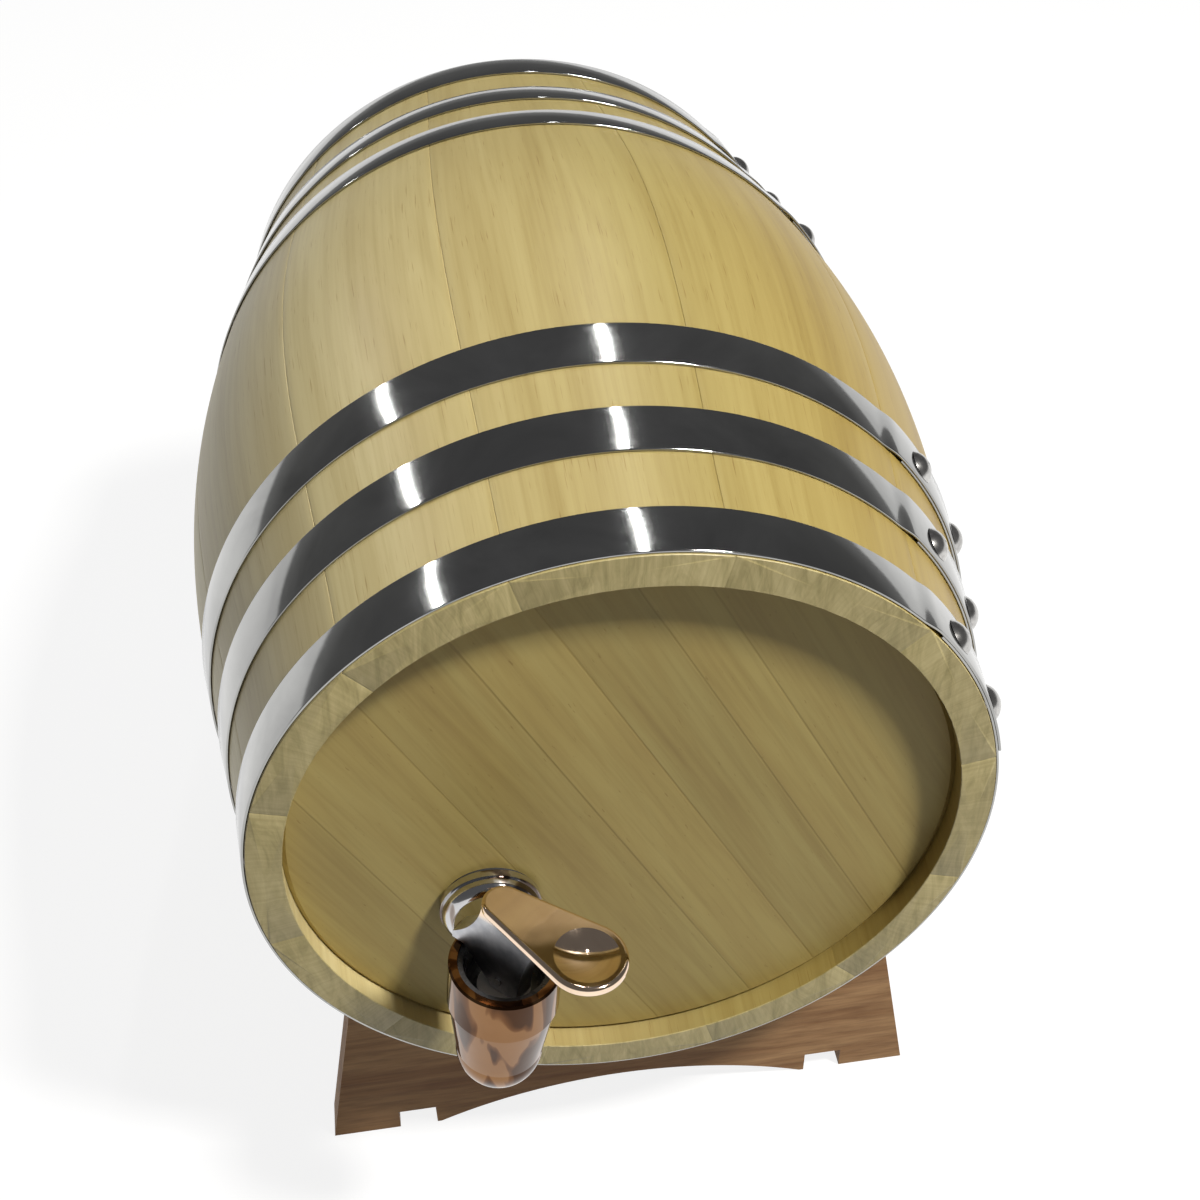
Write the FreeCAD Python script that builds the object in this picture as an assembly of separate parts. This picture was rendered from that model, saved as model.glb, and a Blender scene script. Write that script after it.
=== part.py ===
import FreeCAD, Part
import math
import os

from FreeCAD import Vector

# Oak cask liquor dispenser: a coopered cask of about ten litres, lying on a cradle of two saddle
# boards, with a lever tap in its front head and a filling bung in its rear head.
# Millimetres, +Z up. The cask's axis runs along Y and its front head faces -Y. The shapes are drawn
# with y = 0 at the cask's middle, and save() moves them so that the origin is on the floor under
# the middle of the whole dispenser, from the tip of the lever to the rear end of the cask.

os.makedirs("parts", exist_ok=True)

ORIGIN = Vector(0, 0, 0)
X_AXIS = Vector(1, 0, 0)
Y_AXIS = Vector(0, 1, 0)
Z_AXIS = Vector(0, 0, 1)

# Cask
CASK_LENGTH = 300.0
BILGE_RADIUS = 127.5          # outside, at the middle
CHIME_RADIUS = 108.75         # outside, at the ends
STAVE_THICKNESS = 10.25
BULGE_BELLY = 1.7             # share of the bulge that falls with the square of the length
BULGE_FLARE = 0.7             # share that turns the ends straighter again
BILGE_CLEARANCE = 36.3        # floor to the underside of the belly
STAVE_WIDTHS = (30.3, 33.8, 31.5, 28.5, 28.5, 28.3, 30.7, 30.5, 31.0, 30.5, 30.0, 26.4)
FIRST_STAVE_ANGLE = -15.6     # degrees, clockwise from the top as seen from the front

# Heads
HEAD_RECESS = 7.0             # chime face to the outer face of the head
HEAD_THICKNESS = 12.0
HEAD_EDGE_GAP = 0.9           # between the flat of the head and the chime's inner wall
TONGUE_THICKNESS = 5.0
CROZE_DEPTH = 4.0
CROZE_FIT = 0.1
FRONT_WIDTHS = (33.5, 34.0, 31.3, 24.2, 25.0, 16.1, 40.9)    # they share out the head's width
FRONT_ROLL = 27.0             # lean of the front boards, their tops towards -X
REAR_WIDTHS = (38.5, 26.0, 24.0, 36.0, 26.0, 25.0, 29.5)
REAR_ROLL = 4.0

# Hoops, each given by the distance of its outer edge from the end of the cask
HOOP_STARTS = (0.4, 36.6, 69.5)
HOOP_WIDTH = 16.0
HOOP_THICKNESS = 0.8
HOOP_FIT = 0.15
LAP_START = 51.0              # degrees, clockwise from the top as seen from the front
LAP_SPAN = 28.0
RIVET_ANGLES = (57.0, 72.5)
RIVET_HEAD_RADIUS = 5.3
RIVET_HEAD_HEIGHT = 2.7
RIVET_SHANK_RADIUS = 2.0
RIVET_FIT = 0.05

# Cradle
SADDLE_INSET = 21.0           # end of the cask to the outer face of a saddle board
SADDLE_THICKNESS = 13.0
SADDLE_BASE_HALF = 104.4
SADDLE_TOP = 84.0
SADDLE_TOP_HALF = 88.6
SADDLE_FIT = 0.3
ARCH_HALF = 66.0
ARCH_RISE = 14.5
NOTCH_INNER = 67.5
NOTCH_WIDTH = 13.3
NOTCH_HEIGHT = 9.3
NOTCH_CORNER = 1.5
RAIL_CENTRE = 79.0
RAIL_WIDTH = 18.0
RAIL_BOTTOM = 14.0
RAIL_HEIGHT = 30.0
DOWEL_RADIUS = 3.0
DOWEL_IN_SADDLE = 8.0
DOWEL_IN_RAIL = 14.0
DOWEL_INSET = 8.0             # from a rail's upper or lower face to a dowel's centre
DOWEL_FIT = 0.1

# Bung, in the middle board of the rear head
BUNG_HEIGHT_ON_HEAD = 54.0
BUNG_OUTER_RADIUS = 10.5
BUNG_TAPER = 1.0              # loss of radius through the head
BUNG_FIT = 0.15
BUNG_INNER_REACH = 4.0
BUNG_KNOB_RADIUS = 13.5
BUNG_KNOB_HEIGHT = 6.2
BUNG_KNOB_GAP = 0.3
BUNG_CROWN = 1.6              # rise of the knob's domed face
BUNG_EDGE = 1.0

# Tap: its shank's axis, from the cask's axis
TAP_X = -41.3
TAP_DROP = 24.3
TAP_LEAN = 6.0                # degrees off plumb, top towards +X
TAP_REACH = 37.0              # head to the cup's axis
SHANK_RADIUS = 8.0
SHANK_FIT = 0.3
SHANK_INSIDE = 28.0
WATERWAY_RADIUS = 4.5
GASKET_THICKNESS = 1.5
GASKET_RADIUS = 14.3
FLANGE_RADIUS = 15.3
FLANGE_RIM = 2.2
FLANGE_DOME = 4.6
FLANGE_LIP = 0.7
FLANGE_BOW = 0.72             # share of the dome's depth at which it bows out most
SHANK_EDGE = 1.0
NECK_RADIUS_BACK = 11.8
NECK_RADIUS_FRONT = 10.6
INNER_GASKET_THICKNESS = 2.0
NUT_FLATS = 24.0
NUT_THICKNESS = 7.0
NUT_FIT = 0.1

# Cup of the tap, heights from the shank's axis
CUP_RIM = 19.0
CUP_RADIUS = 15.9
CUP_BAND = 15.5               # height of the upright band under the rim
CUP_EDGE = 0.6
CUP_STEP = 0.4                # loss of radius under the band
CUP_BELLY = 1.6               # how far the spout bows out below the waist
CUP_WAIST_RADIUS = 12.7
CUP_WAIST = -18.0
CUP_FOOT = -30.0
CUP_FOOT_RADIUS = 7.6
OUTLET_TOP_RADIUS = 5.4
OUTLET_FOOT_RADIUS = 6.2
CHAMBER_RADIUS = 9.0
CHAMBER_FLOOR = -9.0
SEAT_THICKNESS = 3.0
SEAT_HOLE_RADIUS = 4.6
BONNET_SEAT = 5.0
BONNET_RADIUS = 13.4
BONNET_FIT = 0.15
BONNET_DROP = 0.6             # cup rim to bonnet rim
BONNET_RIM = 1.4
BOWL_FLOOR = 8.0
BOWL_TAPER = 1.0
BOWL_CORNER = 1.2
WASHER_RADIUS = 7.6
WASHER_THICKNESS = 0.8

# Valve
STEM_RADIUS = 2.4
STEM_FIT = 0.1
TONGUE_LENGTH = 6.0           # below the pin
TONGUE_DEPTH = 2.4
DISC_RADIUS = 6.4
DISC_THICKNESS = 1.5
SEAL_RADIUS = 7.2
SEAL_THICKNESS = 2.9
SEAL_GAP = 0.1
SEAL_FIT = 0.1
RETAINER_THICKNESS = 0.6
RETAINER_RADIUS = 3.2
RETAINER_STEP = 0.4
RING_SECTION = 0.9
RING_FIT = 0.02
SPRING_RADIUS = 4.4           # to the middle of the wire
SPRING_WIRE = 0.5             # radius of the wire
SPRING_GAP = 0.15

# Lever
LEVER_AZIMUTH = 46.0          # degrees from straight ahead, towards +X
PIVOT_HEIGHT = 13.0
BOSS_RADIUS = 4.0
CAM_REACH = 6.9               # pin to the toe that rocks on the washer
CAM_TOE = 0.8
WEB_THICKNESS = 6.4
HEEL_REACH = 16.4
HEEL_GAP = 0.7                # above the cup's rim
HEEL_HEIGHT = 2.5
WEB_BITE = 1.4
WEB_FRONT = 15.0
WEB_BOW = 2.5
SLOT_FIT = 0.15
SLOT_ROOM = 2.6               # ahead of the stem, where it swings as the lever tips
SLOT_END = 0.5
PIN_RADIUS = 1.3
PIN_FIT = 0.06
PIN_PROUD = 0.4
PADDLE_TOP = 42.8
PADDLE_THICKNESS = 3.2
PADDLE_REAR_RADIUS = 6.0
PADDLE_REAR = -2.1
PADDLE_FRONT_RADIUS = 11.2
PADDLE_FRONT = 25.3
PADDLE_EDGE = 1.2
DISH_RADIUS = 8.8
DISH_DEPTH = 1.9

CUT_SPARE = 1.0               # how far a shape that only cuts runs past what it cuts

# Worked out from the sizes above
HALF_LENGTH = CASK_LENGTH / 2
AXIS_HEIGHT = BILGE_CLEARANCE + BILGE_RADIUS
CHIME_INNER = CHIME_RADIUS - STAVE_THICKNESS
HEAD_FACE = -HALF_LENGTH + HEAD_RECESS
HEAD_FLAT_RADIUS = CHIME_INNER - HEAD_EDGE_GAP
TONGUE_RADIUS = CHIME_INNER + CROZE_DEPTH
BEVEL_DEPTH = (HEAD_THICKNESS - TONGUE_THICKNESS) / 2
CUP_AXIS = -TAP_REACH
PADDLE_AHEAD = PADDLE_FRONT * math.cos(math.radians(LEVER_AZIMUTH)) + PADDLE_FRONT_RADIUS
FRONT_TIP = HEAD_FACE + CUP_AXIS - PADDLE_AHEAD
MIDDLE = (FRONT_TIP + HALF_LENGTH) / 2


def save(name, shape):
    shape.translate(Y_AXIS * -MIDDLE)
    shape.exportStep("parts/" + name + ".step")


def wire_of(points):
    return Part.makePolygon([Vector(*p) for p in points] + [Vector(*points[0])])


def face_of(points):
    return Part.Face(wire_of(points))


def turned(points, axis, centre=ORIGIN, angle=360.0):
    """A closed (radius, height) outline turned about Y or Z through the centre."""
    if axis is Y_AXIS:
        outline = [(0, h, r) for r, h in points]
    else:
        outline = [(r, 0, h) for r, h in points]
    solid = face_of(outline).revolve(ORIGIN, axis, angle)
    solid.translate(centre)
    return solid


def cylinder(radius, start, end, axis, centre=ORIGIN):
    solid = Part.makeCylinder(radius, end - start, axis * start, axis)
    solid.translate(centre)
    return solid


def barrel_radius(y):
    """Outer radius: the belly falls away as a u^2 - b u^4 of the distance u from the middle."""
    u = 2 * y / CASK_LENGTH
    fall = BULGE_BELLY * u ** 2 - BULGE_FLARE * u ** 4
    full_fall = BULGE_BELLY - BULGE_FLARE
    return BILGE_RADIUS - (BILGE_RADIUS - CHIME_RADIUS) * fall / full_fall


def along_barrel(start, end, offset):
    """The barrel's side at an offset, from one Y to another, as one Bezier span.

    The side is a polynomial of the fourth degree, so five poles give it exactly. Pole i is the
    polynomial's polar form at 4 - i times the start and i times the end.
    """
    depth = (BILGE_RADIUS - CHIME_RADIUS) / (BULGE_BELLY - BULGE_FLARE)
    poles = []
    for i in range(5):
        ys = [start] * (4 - i) + [end] * i
        us = [2 * y / CASK_LENGTH for y in ys]
        square = sum(us[j] * us[k] for j in range(4) for k in range(j)) / 6
        fourth = math.prod(us)
        fall = depth * (BULGE_BELLY * square - BULGE_FLARE * fourth)
        poles.append(Vector(0, sum(ys) / 4, BILGE_RADIUS - fall + offset))
    curve = Part.BezierCurve()
    curve.setPoles(poles)
    return curve.toShape()


def chain(edges_or_points):
    """One closed wire from curves, joined by straight lines where a gap is left between them."""
    edges = []
    for i, edge in enumerate(edges_or_points):
        following = edges_or_points[(i + 1) % len(edges_or_points)]
        edges.append(edge)
        here = edge.valueAt(edge.LastParameter)
        there = following.valueAt(following.FirstParameter)
        if here.distanceToPoint(there) > 1e-6:
            edges.append(Part.makeLine(here, there))
    return Part.Wire(edges)


def straight(first, last):
    return Part.makeLine(Vector(0, *first), Vector(0, *last))


def run(points):
    """Straight edges through (y, radius) points."""
    return [straight(points[i], points[i + 1]) for i in range(len(points) - 1)]


# Staves

def croze_notch(side):
    """The groove that holds a head, from the end of the cask inward: -1 is the front, +1 the rear."""
    slope = BEVEL_DEPTH / (TONGUE_RADIUS - HEAD_FLAT_RADIUS)
    outer = side * (HALF_LENGTH - HEAD_RECESS)
    inner = outer - side * HEAD_THICKNESS
    outer_mouth = slope * (CHIME_INNER - HEAD_FLAT_RADIUS) - CROZE_FIT
    inner_mouth = 0
    for _ in range(20):
        # the flank and the barrel's lining close in on the corner where they meet
        lining = barrel_radius(inner + side * inner_mouth) - STAVE_THICKNESS
        inner_mouth = slope * (lining - HEAD_FLAT_RADIUS) - CROZE_FIT
    floor = BEVEL_DEPTH - CROZE_FIT
    bottom = TONGUE_RADIUS + CROZE_FIT
    return [(side * HALF_LENGTH, CHIME_INNER),
            (outer - side * outer_mouth, CHIME_INNER),
            (outer - side * floor, bottom),
            (inner + side * floor, bottom),
            (inner + side * inner_mouth, lining)]


def stave_section():
    rear = croze_notch(1)
    front = croze_notch(-1)
    front.reverse()
    outside = along_barrel(-HALF_LENGTH, HALF_LENGTH, 0)
    lining = along_barrel(rear[-1][0], front[0][0], -STAVE_THICKNESS)
    return Part.Face(chain([outside] + run(rear) + [lining] + run(front)))


def build_staves():
    section = stave_section()
    turn = 360.0 / sum(STAVE_WIDTHS)
    angle = FIRST_STAVE_ANGLE
    for number, width in enumerate(STAVE_WIDTHS, 1):
        stave = section.revolve(ORIGIN, Y_AXIS, width * turn)
        stave.rotate(ORIGIN, Y_AXIS, angle)
        on_axis(stave)
        save("stave_%02d" % number, stave)
        angle += width * turn


def on_axis(shape):
    """Lift a shape drawn about the cask's axis to that axis."""
    shape.translate(Z_AXIS * AXIS_HEIGHT)
    return shape


# Heads, each of seven boards glued edge to edge, bevelled all round to a tongue

def head_disc():
    """The whole head about the Y axis, its outer face at y = 0 and its inner face towards +Y."""
    inner = HEAD_THICKNESS - BEVEL_DEPTH
    outline = [(0, 0), (HEAD_FLAT_RADIUS, 0), (TONGUE_RADIUS, BEVEL_DEPTH),
               (TONGUE_RADIUS, inner), (HEAD_FLAT_RADIUS, HEAD_THICKNESS), (0, HEAD_THICKNESS)]
    return turned(outline, Y_AXIS)


def board_joints(widths):
    """The places of the joints across the head, from the width of each board."""
    share = 2 * TONGUE_RADIUS / sum(widths)
    return [share * sum(widths[:count]) - TONGUE_RADIUS for count in range(1, len(widths))]


def head_boards(widths, roll):
    half = TONGUE_RADIUS + CUT_SPARE
    edges = [-half] + board_joints(widths) + [half]
    disc = head_disc()
    boards = []
    for left, right in zip(edges[:-1], edges[1:]):
        strip = Part.makeBox(right - left, HEAD_THICKNESS, 2 * half, Vector(left, 0, -half))
        strip.rotate(ORIGIN, Y_AXIS, -roll)
        boards.append(disc.common(strip))
    return boards


def bung_place():
    """Centre of the bung hole, seen from the front and measured from the cask's axis."""
    joints = board_joints(REAR_WIDTHS)
    middle = len(REAR_WIDTHS) // 2
    across = (joints[middle - 1] + joints[middle]) / 2
    roll = math.radians(REAR_ROLL)
    x = across * math.cos(roll) - BUNG_HEIGHT_ON_HEAD * math.sin(roll)
    z = across * math.sin(roll) + BUNG_HEIGHT_ON_HEAD * math.cos(roll)
    return Vector(x, 0, z)


def build_heads():
    tap_hole = cylinder(SHANK_RADIUS + SHANK_FIT, -CUT_SPARE, HEAD_THICKNESS + CUT_SPARE, Y_AXIS,
                        Vector(TAP_X, 0, -TAP_DROP))
    for number, board in enumerate(head_boards(FRONT_WIDTHS, FRONT_ROLL), 1):
        board = board.cut(tap_hole)
        board.translate(Y_AXIS * HEAD_FACE)
        save("front_head_board_%d" % number, on_axis(board))
    bung_hole = Part.makeCone(BUNG_OUTER_RADIUS, BUNG_OUTER_RADIUS - BUNG_TAPER, HEAD_THICKNESS,
                              bung_place(), Y_AXIS)
    for number, board in enumerate(head_boards(REAR_WIDTHS, REAR_ROLL), 1):
        board = board.cut(bung_hole)
        board = board.mirror(ORIGIN, Y_AXIS)
        board.translate(Y_AXIS * -HEAD_FACE)
        save("rear_head_board_%d" % number, on_axis(board))


# Hoops: a steel strip bent round the cask, its ends lapped and joined with two rivets

def hoop_section(start, end, thickness):
    """A flat strip lying on the barrel's side, so that the hoop is a short cone."""
    low = barrel_radius(start) + HOOP_FIT
    high = barrel_radius(end) + HOOP_FIT
    return face_of([(0, start, low), (0, end, high),
                    (0, end, high + thickness), (0, start, low + thickness)])


def hoop_seat(start, end):
    """The middle of a hoop's inner face, in the plane through the top, and its outward normal."""
    low = barrel_radius(start) + HOOP_FIT
    high = barrel_radius(end) + HOOP_FIT
    foot = Vector(0, (start + end) / 2, (low + high) / 2)
    return foot, Vector(0, low - high, end - start).normalize()


def rivet(foot, normal, angle):
    """A domed rivet through both layers of a lap, turned about Z and laid along the normal."""
    grip = 2 * HOOP_THICKNESS + RIVET_FIT
    ball = (RIVET_HEAD_RADIUS ** 2 + RIVET_HEAD_HEIGHT ** 2) / (2 * RIVET_HEAD_HEIGHT)
    half = math.asin(RIVET_HEAD_RADIUS / ball) / 2
    brow = Vector(ball * math.sin(half), 0, RIVET_HEAD_HEIGHT - ball + ball * math.cos(half))
    points = [Vector(0, 0, RIVET_HEAD_HEIGHT), Vector(0, 0, -grip),
              Vector(RIVET_SHANK_RADIUS, 0, -grip), Vector(RIVET_SHANK_RADIUS, 0, 0),
              Vector(RIVET_HEAD_RADIUS, 0, 0)]
    edges = [Part.makeLine(points[i], points[i + 1]) for i in range(len(points) - 1)]
    edges.append(Part.Arc(points[-1], brow, points[0]).toShape())
    whole = Part.Face(Part.Wire(edges)).revolve(ORIGIN, Z_AXIS, 360)
    whole.rotate(ORIGIN, X_AXIS, math.degrees(math.atan2(-normal.y, normal.z)))
    whole.translate(foot + normal * grip)
    whole.rotate(ORIGIN, Y_AXIS, angle)
    return whole


def rivet_hole(foot, normal, angle):
    length = 4 * HOOP_THICKNESS
    hole = Part.makeCylinder(RIVET_SHANK_RADIUS + RIVET_FIT, length, foot - normal * (length / 4), normal)
    hole.rotate(ORIGIN, Y_AXIS, angle)
    return hole


def build_hoops():
    rivets = []
    for end_name, side in (("front", -1), ("rear", 1)):
        for name, start in zip(("chime", "quarter", "bilge"), HOOP_STARTS):
            outer = side * (HALF_LENGTH - start)
            inner = outer - side * HOOP_WIDTH
            low, high = min(outer, inner), max(outer, inner)
            foot, normal = hoop_seat(low, high)
            single = hoop_section(low, high, HOOP_THICKNESS)
            double = hoop_section(low, high, 2 * HOOP_THICKNESS)
            band = single.revolve(ORIGIN, Y_AXIS, 360.0 - LAP_SPAN)
            band.rotate(ORIGIN, Y_AXIS, LAP_START + LAP_SPAN)
            lap = double.revolve(ORIGIN, Y_AXIS, LAP_SPAN)
            lap.rotate(ORIGIN, Y_AXIS, LAP_START)
            hoop = band.fuse(lap)
            for angle in RIVET_ANGLES:
                hoop = hoop.cut(rivet_hole(foot, normal, angle))
                rivets.append(on_axis(rivet(foot, normal, angle)))
            save("%s_%s_hoop" % (end_name, name), on_axis(hoop))
    save("hoop_rivets", Part.makeCompound(rivets))


# Cradle: two saddle boards joined by two rails on blind dowels

def saddle_outline():
    """The board's front view: flared sides, two notches and a low arch between its feet."""
    right = [(SADDLE_TOP_HALF, SADDLE_TOP), (SADDLE_BASE_HALF, 0)]
    notch = [(NOTCH_INNER + NOTCH_WIDTH, 0), (NOTCH_INNER + NOTCH_WIDTH, NOTCH_HEIGHT),
             (NOTCH_INNER, NOTCH_HEIGHT), (NOTCH_INNER, 0)]
    foot = [(ARCH_HALF, 0)]
    half = right + notch + foot
    points = [Vector(x, 0, z) for x, z in half]
    mirror = [Vector(-p.x, 0, p.z) for p in points]
    mirror.reverse()
    edges = [Part.makeLine(points[i], points[i + 1]) for i in range(len(points) - 1)]
    edges.append(Part.Arc(points[-1], Vector(0, 0, ARCH_RISE), mirror[0]).toShape())
    edges += [Part.makeLine(mirror[i], mirror[i + 1]) for i in range(len(mirror) - 1)]
    edges.append(Part.makeLine(mirror[-1], points[0]))
    return Part.Face(Part.Wire(edges))


def saddle_span(side):
    """Outer and inner Y of a saddle board."""
    outer = side * (HALF_LENGTH - SADDLE_INSET)
    return outer, outer - side * SADDLE_THICKNESS


def dowel_places():
    low = RAIL_BOTTOM + DOWEL_INSET
    high = RAIL_BOTTOM + RAIL_HEIGHT - DOWEL_INSET
    return [(x, z) for x in (-RAIL_CENTRE, RAIL_CENTRE) for z in (low, high)]


def dowel(side, x, z, fit):
    inner = saddle_span(side)[1]
    ends = sorted((inner + side * (DOWEL_IN_SADDLE + fit), inner - side * (DOWEL_IN_RAIL + fit)))
    return cylinder(DOWEL_RADIUS + fit, ends[0], ends[1], Y_AXIS, Vector(x, 0, z))


def build_cradle():
    outline = saddle_outline()
    holes = [dowel(side, x, z, DOWEL_FIT) for side in (-1, 1) for x, z in dowel_places()]
    for name, side in (("front_saddle", -1), ("rear_saddle", 1)):
        outer, inner = saddle_span(side)
        low, high = min(outer, inner), max(outer, inner)
        board = outline.extrude(Y_AXIS * SADDLE_THICKNESS)
        board.translate(Y_AXIS * low)
        seat = Part.makeCone(barrel_radius(low) + SADDLE_FIT, barrel_radius(high) + SADDLE_FIT,
                             SADDLE_THICKNESS, Y_AXIS * low, Y_AXIS)
        board = board.cut(on_axis(seat))
        for hole in holes:
            board = board.cut(hole)
        save(name, board)
    front = saddle_span(-1)[1]
    rear = saddle_span(1)[1]
    for name, x in (("left_rail", -RAIL_CENTRE), ("right_rail", RAIL_CENTRE)):
        corner = Vector(x - RAIL_WIDTH / 2, front, RAIL_BOTTOM)
        rail = Part.makeBox(RAIL_WIDTH, rear - front, RAIL_HEIGHT, corner)
        for hole in holes:
            rail = rail.cut(hole)
        save(name, rail)
    dowels = [dowel(side, x, z, 0) for side in (-1, 1) for x, z in dowel_places()]
    save("cradle_dowels", Part.makeCompound(dowels))


# Bung: a turned wooden plug, drawn with its outer end towards +Y from y = 0 at the head's face

def build_bung():
    inner_radius = BUNG_OUTER_RADIUS - BUNG_TAPER - BUNG_FIT
    reach = HEAD_THICKNESS + BUNG_INNER_REACH
    knob = BUNG_KNOB_GAP + BUNG_KNOB_HEIGHT
    edge = BUNG_EDGE
    outline = [(0, -reach), (inner_radius - edge, -reach), (inner_radius, edge - reach),
               (inner_radius, -HEAD_THICKNESS), (BUNG_OUTER_RADIUS - BUNG_FIT, BUNG_KNOB_GAP),
               (BUNG_KNOB_RADIUS - edge, BUNG_KNOB_GAP), (BUNG_KNOB_RADIUS, BUNG_KNOB_GAP + edge),
               (BUNG_KNOB_RADIUS, knob), (0, knob)]
    ball = (BUNG_KNOB_RADIUS ** 2 + BUNG_CROWN ** 2) / (2 * BUNG_CROWN)
    crown = Part.makeSphere(ball, Y_AXIS * (knob - ball))
    bung = turned(outline, Y_AXIS)
    wide, high = BUNG_KNOB_RADIUS + CUT_SPARE, knob + CUT_SPARE
    beyond = turned([(0, knob - BUNG_CROWN), (wide, knob - BUNG_CROWN), (wide, high), (0, high)],
                    Y_AXIS)
    bung = bung.cut(beyond.cut(crown))
    bung.translate(bung_place() + Y_AXIS * -HEAD_FACE)
    save("bung", on_axis(bung))


# Tap, drawn about the point where its shank's axis meets the head's outer face

def hang(shape):
    """Lean the tap about its shank's axis and put it in the head."""
    shape.rotate(ORIGIN, Y_AXIS, TAP_LEAN)
    shape.translate(Vector(TAP_X, HEAD_FACE, AXIS_HEIGHT - TAP_DROP))
    return shape


def over_cup(shape):
    """Turn a piece drawn about Z to the lever's azimuth and stand it on the cup's axis."""
    shape.rotate(ORIGIN, Z_AXIS, LEVER_AZIMUTH)
    shape.translate(Y_AXIS * CUP_AXIS)
    return hang(shape)


def tap_shank_and_neck():
    back = -GASKET_THICKNESS
    rim = back - FLANGE_RIM
    dome = rim - FLANGE_DOME
    deep = CUP_AXIS + CHAMBER_RADIUS + CUT_SPARE
    front = CUP_AXIS + CUP_RADIUS
    points = [Vector(0, SHANK_INSIDE, 0), Vector(0, SHANK_INSIDE, SHANK_RADIUS - SHANK_EDGE),
              Vector(0, SHANK_INSIDE - SHANK_EDGE, SHANK_RADIUS), Vector(0, back, SHANK_RADIUS),
              Vector(0, back, FLANGE_RADIUS), Vector(0, rim, FLANGE_RADIUS),
              Vector(0, rim, FLANGE_RADIUS - FLANGE_LIP)]
    edges = [Part.makeLine(points[i], points[i + 1]) for i in range(len(points) - 1)]
    shoulder = points[-1]
    neck = Vector(0, dome, NECK_RADIUS_BACK)
    bow = Vector(0, rim - FLANGE_DOME * FLANGE_BOW, (shoulder.z + neck.z) / 2 + FLANGE_LIP)
    edges.append(Part.Arc(shoulder, bow, neck).toShape())
    rest = [neck, Vector(0, front, NECK_RADIUS_FRONT), Vector(0, deep, NECK_RADIUS_FRONT),
            Vector(0, deep, 0), points[0]]
    edges += [Part.makeLine(rest[i], rest[i + 1]) for i in range(len(rest) - 1)]
    return Part.Face(Part.Wire(edges)).revolve(ORIGIN, Y_AXIS, 360)


def cup_outside():
    band = CUP_RIM - CUP_BAND
    shoulder = CUP_RADIUS - CUP_STEP
    points = [Vector(0, 0, CUP_RIM), Vector(CUP_RADIUS - CUP_EDGE, 0, CUP_RIM),
              Vector(CUP_RADIUS, 0, CUP_RIM - CUP_EDGE), Vector(CUP_RADIUS, 0, band),
              Vector(shoulder, 0, band - CUP_STEP), Vector(CUP_WAIST_RADIUS, 0, CUP_WAIST)]
    edges = [Part.makeLine(points[i], points[i + 1]) for i in range(len(points) - 1)]
    waist = points[-1]
    foot = Vector(CUP_FOOT_RADIUS, 0, CUP_FOOT)
    outward = Vector(waist.z - foot.z, 0, foot.x - waist.x).normalize()
    belly = (waist + foot) / 2 + outward * CUP_BELLY
    edges.append(Part.Arc(waist, belly, foot).toShape())
    edges.append(Part.makeLine(foot, Vector(0, 0, CUP_FOOT)))
    edges.append(Part.makeLine(Vector(0, 0, CUP_FOOT), points[0]))
    return Part.Face(Part.Wire(edges)).revolve(ORIGIN, Z_AXIS, 360)


def cup_inside():
    land = CHAMBER_FLOOR - SEAT_THICKNESS
    top, foot = CUP_RIM + CUT_SPARE, CUP_FOOT - CUT_SPARE
    outline = [(0, top), (BONNET_RADIUS, top), (BONNET_RADIUS, BONNET_SEAT),
               (CHAMBER_RADIUS, BONNET_SEAT), (CHAMBER_RADIUS, CHAMBER_FLOOR),
               (SEAT_HOLE_RADIUS, CHAMBER_FLOOR), (SEAT_HOLE_RADIUS, land),
               (OUTLET_TOP_RADIUS, land), (OUTLET_FOOT_RADIUS, CUP_FOOT - 0.01),
               (OUTLET_FOOT_RADIUS, foot), (0, foot)]
    return turned(outline, Z_AXIS)


def build_tap_body():
    shank = tap_shank_and_neck()
    cup = cup_outside()
    cup.translate(Y_AXIS * CUP_AXIS)
    inside = cup_inside()
    inside.translate(Y_AXIS * CUP_AXIS)
    waterway = cylinder(WATERWAY_RADIUS, CUP_AXIS, SHANK_INSIDE + CUT_SPARE, Y_AXIS)
    body = shank.fuse(cup).cut(inside).cut(waterway)
    save("tap_body", hang(body))


def ring(inner, outer, start, end, axis):
    return turned([(inner, start), (outer, start), (outer, end), (inner, end)], axis)


def build_tap_fastening():
    bore = SHANK_RADIUS + NUT_FIT
    save("tap_outer_gasket", hang(ring(bore, GASKET_RADIUS, -GASKET_THICKNESS, 0, Y_AXIS)))
    seat = HEAD_THICKNESS
    face = seat + INNER_GASKET_THICKNESS
    save("tap_inner_gasket", hang(ring(bore, GASKET_RADIUS, seat, face, Y_AXIS)))
    corner = NUT_FLATS / math.sqrt(3)
    hexagon = [(corner * math.cos(math.radians(60 * i)), face, corner * math.sin(math.radians(60 * i)))
               for i in range(6)]
    nut = face_of(hexagon).extrude(Y_AXIS * NUT_THICKNESS)
    nut = nut.cut(cylinder(bore, face - CUT_SPARE, face + NUT_THICKNESS + CUT_SPARE, Y_AXIS))
    save("tap_lock_nut", hang(nut))


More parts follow.
